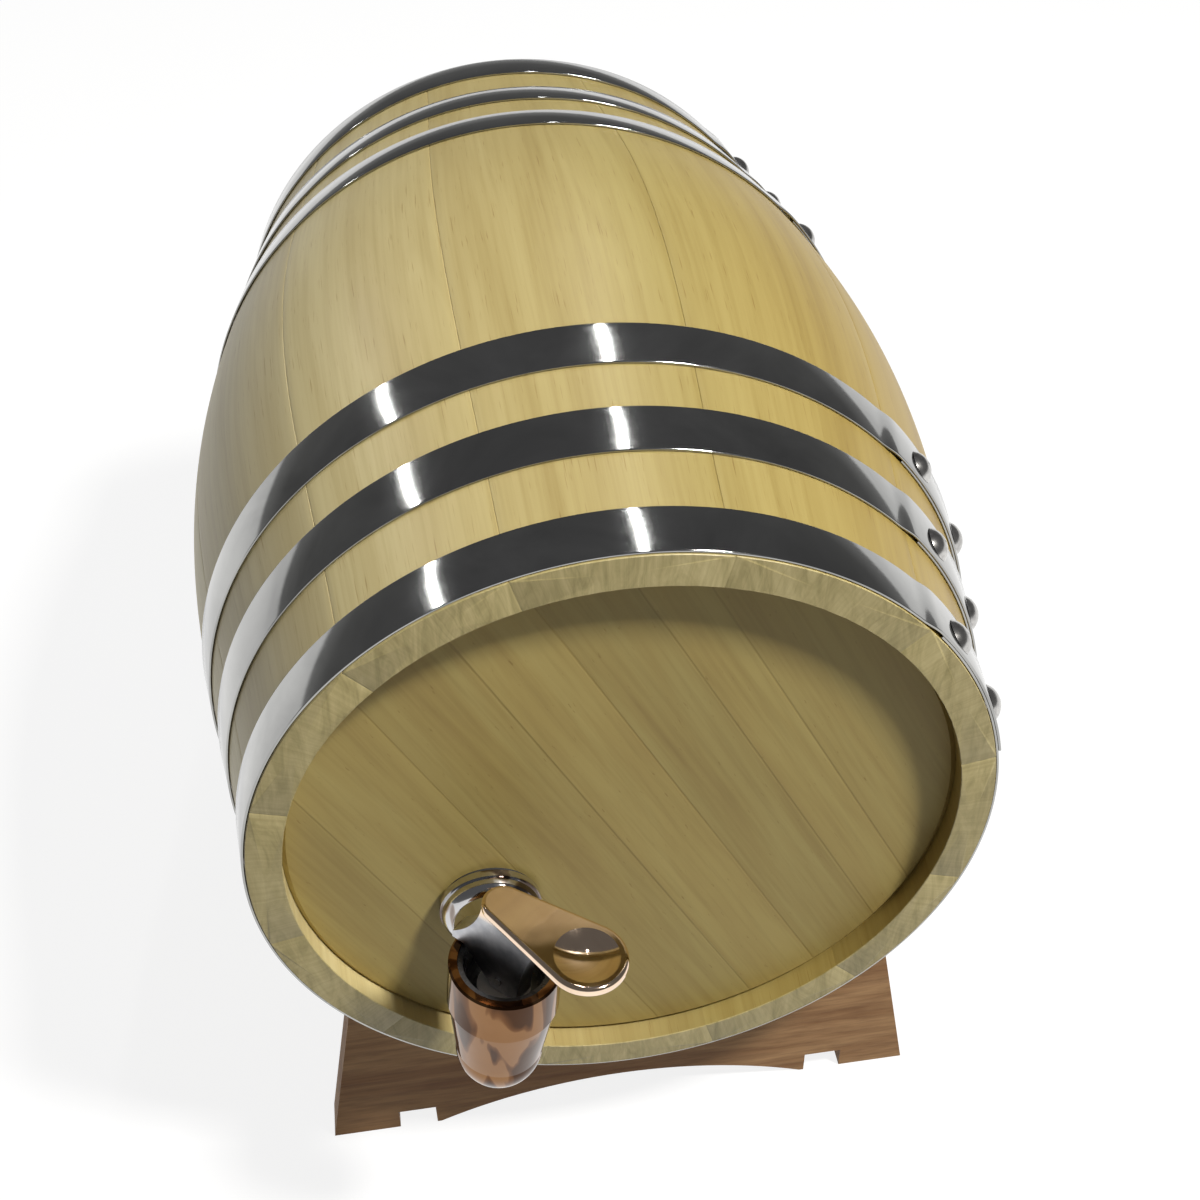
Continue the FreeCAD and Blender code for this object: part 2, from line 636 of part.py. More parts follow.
def build_bonnet():
    """The black insert in the cup: a bowl that the lever dips into, with the stem's hole."""
    rim = CUP_RIM - BONNET_DROP
    outer = BONNET_RADIUS - BONNET_FIT
    hole = STEM_RADIUS + STEM_FIT
    groove = hole + 2 * RING_SECTION
    middle = (BONNET_SEAT + BOWL_FLOOR) / 2
    mouth = outer - BONNET_RIM
    outline = [(hole, BONNET_SEAT), (outer, BONNET_SEAT), (outer, rim), (mouth, rim),
               (mouth - BOWL_TAPER, BOWL_FLOOR + BOWL_CORNER),
               (mouth - BOWL_TAPER - BOWL_CORNER, BOWL_FLOOR),
               (hole, BOWL_FLOOR), (hole, middle + RING_SECTION), (groove, middle + RING_SECTION),
               (groove, middle - RING_SECTION), (hole, middle - RING_SECTION)]
    save("tap_bonnet", over_cup(turned(outline, Z_AXIS)))
    tube = RING_SECTION - RING_FIT
    seal = Part.makeTorus(STEM_RADIUS + STEM_FIT + tube, tube, Z_AXIS * middle, Z_AXIS)
    save("stem_o_ring", over_cup(seal))
    washer_top = BOWL_FLOOR + WASHER_THICKNESS
    washer = ring(hole, WASHER_RADIUS, BOWL_FLOOR, washer_top, Z_AXIS)
    save("lever_wear_washer", over_cup(washer))


# Valve: the stem carries a seal that the spring holds down on the seat

def disc_foot():
    return CHAMBER_FLOOR + SEAL_GAP + SEAL_THICKNESS


def build_stem():
    """A round stem whose head is milled to a flat tongue with the lever's pin hole through it."""
    foot = disc_foot()
    shoulder = PIVOT_HEIGHT - TONGUE_LENGTH
    top = PIVOT_HEIGHT + STEM_RADIUS
    neck = STEM_RADIUS - RETAINER_STEP
    outline = [(0, CHAMBER_FLOOR - RETAINER_THICKNESS),
               (RETAINER_RADIUS, CHAMBER_FLOOR - RETAINER_THICKNESS),
               (RETAINER_RADIUS, CHAMBER_FLOOR), (neck, CHAMBER_FLOOR),
               (neck, foot), (DISC_RADIUS, foot), (DISC_RADIUS, foot + DISC_THICKNESS),
               (STEM_RADIUS, foot + DISC_THICKNESS), (STEM_RADIUS, top), (0, top)]
    stem = turned(outline, Z_AXIS)
    half = TONGUE_DEPTH / 2
    for side in (-1, 1):
        flat = Part.makeBox(STEM_RADIUS, 2 * STEM_RADIUS, top - shoulder,
                            Vector(-STEM_RADIUS / 2, -STEM_RADIUS, shoulder))
        flat.translate(X_AXIS * side * (half + STEM_RADIUS / 2))
        stem = stem.cut(flat)
    head = Part.makeBox(2 * STEM_RADIUS, 2 * STEM_RADIUS, STEM_RADIUS,
                        Vector(-STEM_RADIUS, -STEM_RADIUS, PIVOT_HEIGHT))
    pivot = Z_AXIS * PIVOT_HEIGHT
    stem = stem.cut(head.cut(cylinder(STEM_RADIUS, -STEM_RADIUS, STEM_RADIUS, X_AXIS, pivot)))
    stem = stem.cut(cylinder(PIN_RADIUS + PIN_FIT, -STEM_RADIUS, STEM_RADIUS, X_AXIS, pivot))
    save("valve_stem", over_cup(stem))
    seal_foot = CHAMBER_FLOOR + SEAL_GAP
    seal = ring(neck + SEAL_FIT, SEAL_RADIUS, seal_foot, foot, Z_AXIS)
    save("valve_seal", over_cup(seal))


def build_spring():
    """The hidden spring between the stem's disc and the bonnet, as the sleeve that it fills."""
    low = disc_foot() + DISC_THICKNESS + SPRING_GAP
    high = BONNET_SEAT - SPRING_GAP
    spring = ring(SPRING_RADIUS - SPRING_WIRE, SPRING_RADIUS + SPRING_WIRE, low, high, Z_AXIS)
    save("valve_spring", over_cup(spring))


# Lever, drawn pointing straight ahead: its reach is measured forward from the cup's axis

def ahead(reach, height):
    return Vector(0, -reach, height)


def lever_web():
    """The upright web: a heel over the rim, a boss round the pin with a flat foot that rocks on
    the washer over its toe, and curved front and rear edges."""
    heel = CUP_RIM + HEEL_GAP
    diagonal = BOSS_RADIUS * math.sqrt(0.5)
    boss_back = ahead(-diagonal, PIVOT_HEIGHT - diagonal)
    foot = PIVOT_HEIGHT - BOSS_RADIUS
    boss_foot = ahead(0, foot)
    boss_side = PIVOT_HEIGHT - BOSS_RADIUS * math.cos(math.pi / 8)
    boss_bow = ahead(-BOSS_RADIUS * math.sin(math.pi / 8), boss_side)
    toe = ahead(CAM_REACH - CAM_TOE, foot)
    toe_front = ahead(CAM_REACH, foot + CAM_TOE)
    heel_inner = ahead(-diagonal - (heel - PIVOT_HEIGHT + diagonal), heel)
    heel_foot = ahead(-HEEL_REACH, heel)
    heel_top = ahead(-HEEL_REACH, heel + HEEL_HEIGHT)
    top = PADDLE_TOP - PADDLE_THICKNESS + WEB_BITE
    back_top = ahead(PADDLE_REAR - PADDLE_REAR_RADIUS + PADDLE_EDGE, top)
    front_top = ahead(WEB_FRONT, top)
    back_bow = ahead((heel_top.y + back_top.y) / -2 + WEB_BOW, (heel_top.z + back_top.z) / 2)
    front_bow = ahead((toe_front.y + front_top.y) / -2 - WEB_BOW, (toe_front.z + front_top.z) / 2)
    edges = [Part.makeLine(heel_top, heel_foot), Part.makeLine(heel_foot, heel_inner),
             Part.makeLine(heel_inner, boss_back),
             Part.Arc(boss_back, boss_bow, boss_foot).toShape(),
             Part.makeLine(boss_foot, toe), Part.makeLine(toe, toe_front),
             Part.Arc(toe_front, front_bow, front_top).toShape(),
             Part.makeLine(front_top, back_top),
             Part.Arc(back_top, back_bow, heel_top).toShape()]
    web = Part.Face(Part.Wire(edges)).extrude(X_AXIS * WEB_THICKNESS)
    web.translate(X_AXIS * (-WEB_THICKNESS / 2))
    return web


def lever_paddle():
    """A teardrop plate with rounded edges and a dished thumb rest in its wide end."""
    lean = math.asin((PADDLE_FRONT_RADIUS - PADDLE_REAR_RADIUS) / (PADDLE_FRONT - PADDLE_REAR))
    foot = PADDLE_TOP - PADDLE_THICKNESS

    def flank(reach, radius, side):
        x = side * radius * math.cos(lean)
        return Vector(x, -reach + radius * math.sin(lean), foot)

    rear_right = flank(PADDLE_REAR, PADDLE_REAR_RADIUS, 1)
    rear_left = flank(PADDLE_REAR, PADDLE_REAR_RADIUS, -1)
    front_right = flank(PADDLE_FRONT, PADDLE_FRONT_RADIUS, 1)
    front_left = flank(PADDLE_FRONT, PADDLE_FRONT_RADIUS, -1)
    nose = ahead(PADDLE_FRONT + PADDLE_FRONT_RADIUS, foot)
    tail = ahead(PADDLE_REAR - PADDLE_REAR_RADIUS, foot)
    edges = [Part.makeLine(rear_right, front_right),
             Part.Arc(front_right, nose, front_left).toShape(),
             Part.makeLine(front_left, rear_left),
             Part.Arc(rear_left, tail, rear_right).toShape()]
    plate = Part.Face(Part.Wire(edges)).extrude(Z_AXIS * PADDLE_THICKNESS)
    rims = [e for e in plate.Edges if abs(e.BoundBox.ZMax - e.BoundBox.ZMin) < 0.01]
    plate = plate.makeFillet(PADDLE_EDGE, rims)
    ball = (DISH_RADIUS ** 2 + DISH_DEPTH ** 2) / (2 * DISH_DEPTH)
    centre = ahead(PADDLE_FRONT, PADDLE_TOP - DISH_DEPTH + ball)
    return plate.cut(Part.makeSphere(ball, centre))


def build_lever():
    slot_half = TONGUE_DEPTH / 2 + SLOT_FIT
    behind = STEM_RADIUS + SLOT_END
    depth = BOSS_RADIUS + CUT_SPARE
    corner = Vector(-slot_half, -STEM_RADIUS - SLOT_ROOM, PIVOT_HEIGHT - depth)
    slot = Part.makeBox(2 * slot_half, STEM_RADIUS + SLOT_ROOM + behind, depth + behind, corner)
    half = WEB_THICKNESS / 2
    pivot = Z_AXIS * PIVOT_HEIGHT
    hole = cylinder(PIN_RADIUS + PIN_FIT, -half - CUT_SPARE, half + CUT_SPARE, X_AXIS, pivot)
    lever = lever_web().cut(slot).cut(hole).fuse(lever_paddle())
    save("tap_lever", over_cup(lever.removeSplitter()))
    pin = cylinder(PIN_RADIUS, -half - PIN_PROUD, half + PIN_PROUD, X_AXIS, pivot)
    save("lever_pivot_pin", over_cup(pin))


build_staves()
build_heads()
build_hoops()
build_cradle()
build_bung()
build_tap_body()
build_tap_fastening()
build_bonnet()
build_stem()
build_spring()
build_lever()
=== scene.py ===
# %% [markdown]
# # An oak cask with a lever tap
# A coopered cask lies on a dark wooden cradle. The imported model gives every rigid piece. This file
# gives them their finishes, and makes again the pieces whose shine shows each facet: the steel
# hoops, the barrel's side and the valve's coil spring.

# %% Load the fixed model
import math

import bmesh
import bpy
import numpy as np
from mathutils import Matrix, Vector


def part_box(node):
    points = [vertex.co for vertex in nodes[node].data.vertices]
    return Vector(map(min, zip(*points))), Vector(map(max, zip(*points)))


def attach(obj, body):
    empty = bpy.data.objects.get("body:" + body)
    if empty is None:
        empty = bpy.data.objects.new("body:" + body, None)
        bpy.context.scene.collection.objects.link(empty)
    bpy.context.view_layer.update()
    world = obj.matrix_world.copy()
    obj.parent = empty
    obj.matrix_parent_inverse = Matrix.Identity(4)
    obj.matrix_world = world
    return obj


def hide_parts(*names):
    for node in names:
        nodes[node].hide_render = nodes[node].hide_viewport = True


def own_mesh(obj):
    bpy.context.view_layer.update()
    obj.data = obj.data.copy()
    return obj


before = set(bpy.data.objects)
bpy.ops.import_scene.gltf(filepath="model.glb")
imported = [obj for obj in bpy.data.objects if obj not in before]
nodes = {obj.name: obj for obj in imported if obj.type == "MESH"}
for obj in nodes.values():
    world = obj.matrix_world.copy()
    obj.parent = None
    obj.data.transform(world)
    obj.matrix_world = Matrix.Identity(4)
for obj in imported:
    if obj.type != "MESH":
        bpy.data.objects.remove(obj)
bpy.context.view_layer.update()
print("pieces in the model:", len(nodes))

# %% [markdown]
# ## The camera
# The photograph looks down on the front head from a little to the left of the cask's axis. The
# three rows below are the camera's right, down and forward directions, and its stand is in metres.

# %% Camera
right = Vector((0.98893, -0.14737, -0.01755))
down = Vector((-0.11037, -0.65117, -0.75086))
ahead = Vector((0.09923, 0.74449, -0.66022))
camera = bpy.data.objects.new("camera", bpy.data.cameras.new("camera"))
camera.data.lens = 48.85
camera.data.sensor_width = 36.0
camera.data.clip_start = 0.01
turn = Matrix((right, -down, -ahead)).transposed().to_4x4()
stand = (-0.0472, -0.4233, 0.5282)
camera.matrix_world = Matrix.Translation(stand) @ turn
bpy.context.scene.collection.objects.link(camera)
bpy.context.scene.camera = camera
bpy.context.scene.view_settings.view_transform = "Standard"
print("camera looks along", tuple(round(c, 3) for c in ahead))

# %% [markdown]
# ## Writing materials
# A material is a chain of nodes. These few helpers add a node, join two sockets, and give a ramp
# its colours, so that each finish below reads as a short recipe.


# %% Helpers for materials
def blank(name):
    """A new material: its node tree, and its shader joined to the output."""
    material = bpy.data.materials.new(name)
    material.use_nodes = True
    tree = material.node_tree
    return material, tree, tree.nodes["Principled BSDF"]


def add(tree, kind, inputs=None, **settings):
    """Add one node. Inputs may be plain values or sockets of other nodes."""
    node = tree.nodes.new(kind)
    for key, value in settings.items():
        setattr(node, key, value)
    for key, value in (inputs or {}).items():
        if isinstance(value, bpy.types.NodeSocket):
            tree.links.new(value, node.inputs[key])
        else:
            node.inputs[key].default_value = value
    return node


def ramp(tree, factor, stops, step=False):
    """Colours along a factor: stops are (place, colour), a colour being three linear numbers."""
    node = add(tree, "ShaderNodeValToRGB", {"Fac": factor})
    band = node.color_ramp
    band.interpolation = "CONSTANT" if step else "LINEAR"
    while len(band.elements) < len(stops):
        band.elements.new(1.0)
    for element, (place, colour) in zip(band.elements, stops):
        element.position = place
        element.color = (*colour, 1.0)
    return node.outputs["Color"]


def maths(tree, operation, a, b=0.0, c=0.0):
    return add(tree, "ShaderNodeMath", {0: a, 1: b, 2: c}, operation=operation).outputs[0]


def blend(tree, factor, a, b, way="MIX"):
    """Mix two colours; way is the kind of mix, such as MULTIPLY."""
    node = tree.nodes.new("ShaderNodeMix")
    node.data_type = "RGBA"
    node.blend_type = way
    for socket, value in (("Factor_Float", factor), ("A_Color", a), ("B_Color", b)):
        target = next(s for s in node.inputs if s.identifier == socket)
        if isinstance(value, bpy.types.NodeSocket):
            tree.links.new(value, target)
        else:
            target.default_value = value if socket == "Factor_Float" else (*value, 1.0)
    return next(s for s in node.outputs if s.identifier == "Result_Color")


def noise(tree, vector, scale, detail=4.0, rough=0.5, twist=0.0):
    return add(tree, "ShaderNodeTexNoise", {"Vector": vector, "Scale": scale, "Detail": detail,
                                            "Roughness": rough, "Distortion": twist}).outputs["Fac"]


def drawn_out(tree, vector, scale, detail=4.0, rough=0.5, twist=0.0):
    """Noise with a scale for each axis. Grain runs along the axis whose scale is small."""
    laid = add(tree, "ShaderNodeMapping", {"Vector": vector, "Scale": scale}).outputs[0]
    return noise(tree, laid, 1.0, detail, rough, twist)


def tint(tree, colour, factor, stops):
    """The colour multiplied by a ramp along a factor."""
    return blend(tree, 1.0, colour, ramp(tree, factor, stops), "MULTIPLY")


def rescale(tree, value, from_min=0.0, from_max=1.0, to_min=0.0, to_max=1.0, **settings):
    """Carry one range of a value onto another, held at its ends."""
    return add(tree, "ShaderNodeMapRange", {"Value": value, "From Min": from_min,
                                            "From Max": from_max, "To Min": to_min,
                                            "To Max": to_max}, **settings).outputs[0]


def object_place(tree):
    return add(tree, "ShaderNodeTexCoord").outputs["Object"]


def grain_map(tree):
    return add(tree, "ShaderNodeUVMap", uv_map="grain").outputs[0]


def bumps(tree, height, strength, distance, normal=None):
    inputs = {"Height": height, "Strength": strength, "Distance": distance}
    if normal is not None:
        inputs["Normal"] = normal
    return add(tree, "ShaderNodeBump", inputs).outputs[0]


def finish_with(material, *names):
    """Give every named node of the model this finish."""
    for name in names:
        for slot in nodes[name].material_slots:
            slot.material = material
    print(material.name, "on", len(names), "nodes")


# %% [markdown]
# ## Making surfaces
# Every new piece is a grid of points worked out at once with numpy. The grid may close on itself
# along either side, as a tube does, and a row whose points all meet in one place is a pole.


# %% Helper for surfaces
def surface(name, points, wrap_rows=False, wrap_columns=False, uv=None, flip=False):
    """A mesh from a grid of points, rows by columns by 3. Neighbouring points join in quads, and a
    side that wraps joins its last line to its first. Doubled points at a pole are merged."""
    rows, columns = points.shape[:2]
    i = np.arange(rows if wrap_rows else rows - 1)[:, None]
    j = np.arange(columns if wrap_columns else columns - 1)[None, :]
    ni, nj = (i + 1) % rows, (j + 1) % columns
    quads = np.stack([i * columns + j, i * columns + nj, ni * columns + nj, ni * columns + j], -1)
    quads = quads.reshape(-1, 4)
    if flip:
        quads = quads[:, ::-1]
    mesh = bpy.data.meshes.new(name)
    mesh.from_pydata(points.reshape(-1, 3), [], quads.tolist())
    if uv is not None:
        layer = mesh.uv_layers.new(name="grain")
        corners = uv.reshape(-1, 2)[quads.reshape(-1)].astype(np.float32)
        layer.data.foreach_set("uv", corners.ravel())
    piece = bpy.data.objects.new(name, mesh)
    bpy.context.scene.collection.objects.link(piece)
    merge_doubles(mesh)
    mesh.shade_smooth()
    return piece


def merge_doubles(mesh, distance=1e-7):
    work = bmesh.new()
    work.from_mesh(mesh)
    bmesh.ops.remove_doubles(work, verts=work.verts, dist=distance)
    work.to_mesh(mesh)
    work.free()


# %% [markdown]
# ## The cask's measure
# Every piece of the cask follows one curve: the outer radius at each place along its length. From
# the middle the radius falls with the square of the distance, and near the ends it straightens.

# %% The barrel's curve
MIDDLE, AXIS = 0.0293875, 0.1638        # the cask's middle along Y, and its axis above the floor
HALF, BELLY, END = 0.15, 0.1275, 0.10875
WALL = 0.01025
HEAD_RADIUS = 0.1025                    # a head's radius, with the edge that sits in the groove


def barrel(y):
    """Outer radius = belly - (belly - end) x (1.7 u^2 - 0.7 u^4), u being 1 at the cask's end."""
    u = (y - MIDDLE) / HALF
    return BELLY - (BELLY - END) * (1.7 * u ** 2 - 0.7 * u ** 4)


def round_cask(radius, angle, y):
    """Points at a radius and an angle, counted clockwise from the top as seen from the front."""
    return np.stack([radius * np.sin(angle), y + 0 * angle, AXIS + radius * np.cos(angle)], -1)


print("belly", BELLY, "end", round(float(barrel(MIDDLE + HALF)), 5))

# %% [markdown]
# ## Staves
# A cooper planes each stave to a bevel, so that twelve of them close into a barrel. The joints
# show only as hair lines, because the edges are barely broken. Each stave is one closed section
# carried along the barrel's curve, with the groove for the heads cut inside. Its grain runs along
# its length, so it carries its own map: across the stave, and along it, both in metres.

# %% Make the staves
WIDTHS = np.array((30.3, 33.8, 31.5, 28.5, 28.5, 28.3, 30.7, 30.5, 31.0, 30.5, 30.0, 26.4))
edges = np.radians(-15.6 + 360 * np.concatenate(([0], np.cumsum(WIDTHS))) / WIDTHS.sum())
BREAK = 0.0003                          # how far a stave's long edges are rounded off
ROWS, BACK = 70, 9                      # rows between the grooves, and points across the inner face
BEND, FACE = 5, 21                      # points round a broken edge, and across the outer face
EASE = 0.0002                           # how far the rim of an end face is broken
SHIFT = (0.37, 0.53)                    # moves the grain from stave to stave, so that none repeats


def stave(number, start, end):
    """Rows go along the stave, columns go round its section: out along the outer face, round the
    broken edge, down one side, back along the inner face and up the other side. The inner face
    drops by 4 mm in the groove. At each end the rows draw in to the middle of the end face."""
    groove = np.array((0.0, 0.0004, 0.0104, 0.0105, 0.0157, 0.0158, 0.03))
    depth = np.array((0.0, 0.0, 0.0, 0.004, 0.004, 0.0, 0.0))
    along = np.concatenate((groove, np.linspace(0.035, 0.265, ROWS), 2 * HALF - groove[::-1]))
    cut = np.concatenate((depth, np.zeros(ROWS), depth[::-1]))
    y = MIDDLE - HALF + along
    outer, inner = barrel(y), barrel(y) - WALL + cut
    mean = (outer + inner) / 2
    bend = np.linspace(0, math.pi / 2, BEND)
    place = np.concatenate((np.zeros(BEND), np.linspace(0, 1, FACE + 2)[1:-1], np.ones(BEND)))
    drop = np.concatenate(((1 - np.cos(bend))[::-1], np.zeros(FACE), 1 - np.cos(bend)))
    inset = np.concatenate(((1 - np.sin(bend))[::-1], np.zeros(FACE), np.sin(bend) - 1))
    angle_top = start + (end - start) * place + BREAK * inset / BELLY
    top = outer[:, None] - BREAK * drop
    low = np.broadcast_to(inner[:, None], (len(y), BACK))
    radius = np.concatenate((top, low), 1)
    angle = np.broadcast_to(np.concatenate((angle_top, np.linspace(end, start, BACK))),
                            radius.shape)
    centre = (start + end) / 2
    sizes = np.array((0, .97, 1.0))[:, None]
    radius = np.vstack((mean[0] + (radius[0] - mean[0]) * sizes, radius[1:-1],
                        mean[-1] + (radius[-1] - mean[-1]) * sizes[::-1]))
    angle = np.vstack((centre + (angle[0] - centre) * sizes, angle[1:-1],
                       centre + (angle[-1] - centre) * sizes[::-1]))
    y = np.concatenate(([y[0]] * 2, [y[0] + EASE], y[1:-1], [y[-1] - EASE], [y[-1]] * 2))
    points = round_cask(radius, angle, y[:, None])
    across = (angle - start) * BELLY + number * SHIFT[0]
    uv = np.stack([across, np.broadcast_to(y[:, None], across.shape) + number * SHIFT[1]], -1)
    piece = surface("stave_%02d_planed" % number, points, wrap_columns=True, uv=uv)
    piece.data.set_sharp_from_angle(angle=math.radians(35))
    return piece


staves = [stave(k + 1, edges[k], edges[k + 1]) for k in range(12)]
for k, piece in enumerate(staves):
    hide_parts("stave_%02d" % (k + 1))
    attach(piece, "cask")
print("staves:", len(staves), "with", len(staves[0].data.vertices), "points each")

# %% [markdown]
# ## Oak for the staves
# The belly is pale yellow oak under a thin satin lacquer. Its figure is long soft waves with finer
# streaks and short pores along each stave. A tint laid by place across the cask, not stave by
# stave, makes the left side paler and greyer and the right side more amber. The sawn ends of the
# staves show greenish end grain with fine rays.

# %% Stave oak
stave_oak, tree, shader = blank("stave_oak")
grain = grain_map(tree)
where = object_place(tree)
apart = add(tree, "ShaderNodeSeparateXYZ", {0: where})
figure = drawn_out(tree, grain, (60, 5, 1), 3.0, 0.55, 0.6)
streaks = drawn_out(tree, grain, (420, 7, 1), 5.0, 0.6)
pores = drawn_out(tree, grain, (1700, 60, 1), 2.0)
board = drawn_out(tree, grain, (2.6, .01, 1), 0.0)
body = ramp(tree, figure, [(0.25, (0.33, 0.248, 0.085)), (0.45, (0.375, 0.292, 0.108)),
                           (0.6, (0.405, 0.322, 0.126)), (0.8, (0.345, 0.265, 0.095))])
# A tint by place across the cask: paler and greyer on the left, more amber on the right.
side = rescale(tree, apart.outputs[0], -0.11, 0.11)
hue = ramp(tree, side, [(0.0, (1.8, 2.0, 2.9)), (0.35, (1.25, 1.3, 1.5)),
                                   (0.62, (0.96, 0.98, 0.9)), (1.0, (0.92, 0.82, 0.5))])
body = blend(tree, 1.0, body, hue, "MULTIPLY")
body = tint(tree, body, streaks, [(0.3, (0.88, 0.85, 0.78)), (0.55, (1, 1, 1))])
body = tint(tree, body, board, [(0.35, (0.9, 0.88, 0.86)), (0.65, (1.04, 1.03, 1.0))])
body = tint(tree, body, pores, [(0.26, (0.72, 0.62, 0.5)), (0.36, (1, 1, 1))])
turned = add(tree, "ShaderNodeVectorMath", {0: where, 1: (0, 0, AXIS)}, operation="SUBTRACT")
rays = drawn_out(tree, grain, (900, 900, 1), 4.0, 0.7)
across_end = add(tree, "ShaderNodeMapping", {"Vector": turned.outputs[0], "Scale": (170, 0, 40),
                                             "Rotation": (0, 0.5, 0)}).outputs[0]
rings = noise(tree, across_end, 1.0, 5.0, 0.65, 1.5)
sawn = ramp(tree, rings, [(0.3, (0.33, 0.275, 0.105)), (0.5, (0.49, 0.41, 0.185)),
                          (0.7, (0.60, 0.51, 0.25))])
sawn = tint(tree, sawn, rays, [(0.35, (0.85, 0.83, 0.78)), (0.6, (1, 1, 1))])
from_middle = maths(tree, "ABSOLUTE", maths(tree, "SUBTRACT", apart.outputs[1], MIDDLE))
END_SKIN = 0.0003                       # the depth at each end that shows end grain
at_end = maths(tree, "GREATER_THAN", from_middle, HALF - END_SKIN)
tree.links.new(blend(tree, at_end, body, sawn), shader.inputs["Base Color"])
satin = rescale(tree, streaks, to_min=0.42, to_max=0.52)
tree.links.new(satin, shader.inputs["Roughness"])
relief = maths(tree, "MULTIPLY_ADD", streaks, 0.6, maths(tree, "MULTIPLY", pores, 0.4))
tree.links.new(bumps(tree, relief, 0.12, 0.0004), shader.inputs["Normal"])
shader.inputs["Coat Weight"].default_value = 0.15
shader.inputs["Coat Roughness"].default_value = 0.3
for piece in staves:
    piece.data.materials.append(stave_oak)
print("stave oak has", len(tree.nodes), "nodes")

# %% [markdown]
# ## Oak for the heads
# Each head is seven narrow boards glued edge to edge. The photographed head is rubbed with a darker
# olive-brown, and its boards lean so that their tops go left. A rotation lays the pattern along the
# boards, and a ramp with steps gives each board its own tone between the joints.


# %% Head oak
def head_oak(name, roll, widths):
    """Olive-brown boards of these widths (mm), their length leaning by roll degrees."""
    material, tree, shader = blank(name)
    where = object_place(tree)
    centred = add(tree, "ShaderNodeVectorMath", {0: where, 1: (0, 0, AXIS)}, operation="SUBTRACT")
    laid = add(tree, "ShaderNodeVectorRotate", {"Vector": centred.outputs[0], "Axis": (0, 1, 0),
                                                "Angle": math.radians(roll)}).outputs[0]
    across = add(tree, "ShaderNodeSeparateXYZ", {0: laid}).outputs[0]
    share = rescale(tree, across, -HEAD_RADIUS, HEAD_RADIUS)
    joints = np.concatenate(([0], np.cumsum(widths) / sum(widths)))
    tones = (0.95, 1.06, 0.97, 1.05, 0.92, 1.03, 0.98)
    steps = ramp(tree, share, [(float(p), (t, t * 0.995, t * 0.97))
                                          for p, t in zip(joints[:-1], tones)], step=True)
    red = add(tree, "ShaderNodeSeparateColor", {0: steps}).outputs[0]
    offset = maths(tree, "MULTIPLY", red, 3.0)
    shifted = add(tree, "ShaderNodeCombineXYZ", {0: 0.0, 1: offset, 2: offset}).outputs[0]
    own = add(tree, "ShaderNodeVectorMath", {0: laid, 1: shifted}, operation="ADD").outputs[0]
    figure = drawn_out(tree, own, (70, 20, 7), 4.0, 0.6, 0.8)
    streaks = drawn_out(tree, own, (480, 100, 16), 5.0, 0.65)
    flecks = drawn_out(tree, own, (900, 300, 170), 3.0, 0.6)
    colour = ramp(tree, figure, [(0.2, (0.35, 0.25, 0.078)), (0.5, (0.425, 0.325, 0.107)),
                                 (0.8, (0.485, 0.395, 0.144))])
    colour = blend(tree, 1.0, colour, steps, "MULTIPLY")
    colour = tint(tree, colour, streaks, [(0.3, (0.88, 0.86, 0.82)), (0.55, (1, 1, 1))])
    colour = tint(tree, colour, flecks, [(0.24, (0.68, 0.6, 0.5)), (0.34, (1, 1, 1))])
    near = None
    for joint in joints[1:-1]:
        off = maths(tree, "ABSOLUTE", maths(tree, "SUBTRACT", share, float(joint)))
        near = off if near is None else maths(tree, "MINIMUM", near, off)
    line = rescale(tree, near, 0.0006, 0.0022)
    colour = tint(tree, colour, line, [(0.0, (0.80, 0.77, 0.7)), (1.0, (1, 1, 1))])
    tree.links.new(colour, shader.inputs["Base Color"])
    shader.inputs["Roughness"].default_value = 0.55
    height = maths(tree, "ADD", maths(tree, "MULTIPLY", streaks, 0.5), line)
    tree.links.new(bumps(tree, height, 0.15, 0.0004), shader.inputs["Normal"])
    return material


front_oak = head_oak("front_head_oak", 27.0, (33.5, 34.0, 31.3, 24.2, 25.0, 16.1, 40.9))
rear_oak = head_oak("rear_head_oak", 4.0, (38.5, 26.0, 24.0, 36.0, 26.0, 25.0, 29.5))
finish_with(front_oak, *("front_head_board_%d" % k for k in range(1, 8)))
finish_with(rear_oak, *("rear_head_board_%d" % k for k in range(1, 8)))

# %% [markdown]
# ## Hoops
# A hoop is a strip of polished steel bent to a shallow cone, its ends lapped and riveted on the
# right. A mirror shows every facet, so each hoop is worked out finely as a rounded strip that goes
# once round and then climbs over its own first end.

# %% Make the hoops
THICK, WIDE, ROUND = 0.0008, 0.016, 0.00028     # the strip's section, and its corners' radius
LAP_START, LAP = math.radians(51.0), math.radians(28.0)
AIR = 0.00015                           # between the strip and the wood


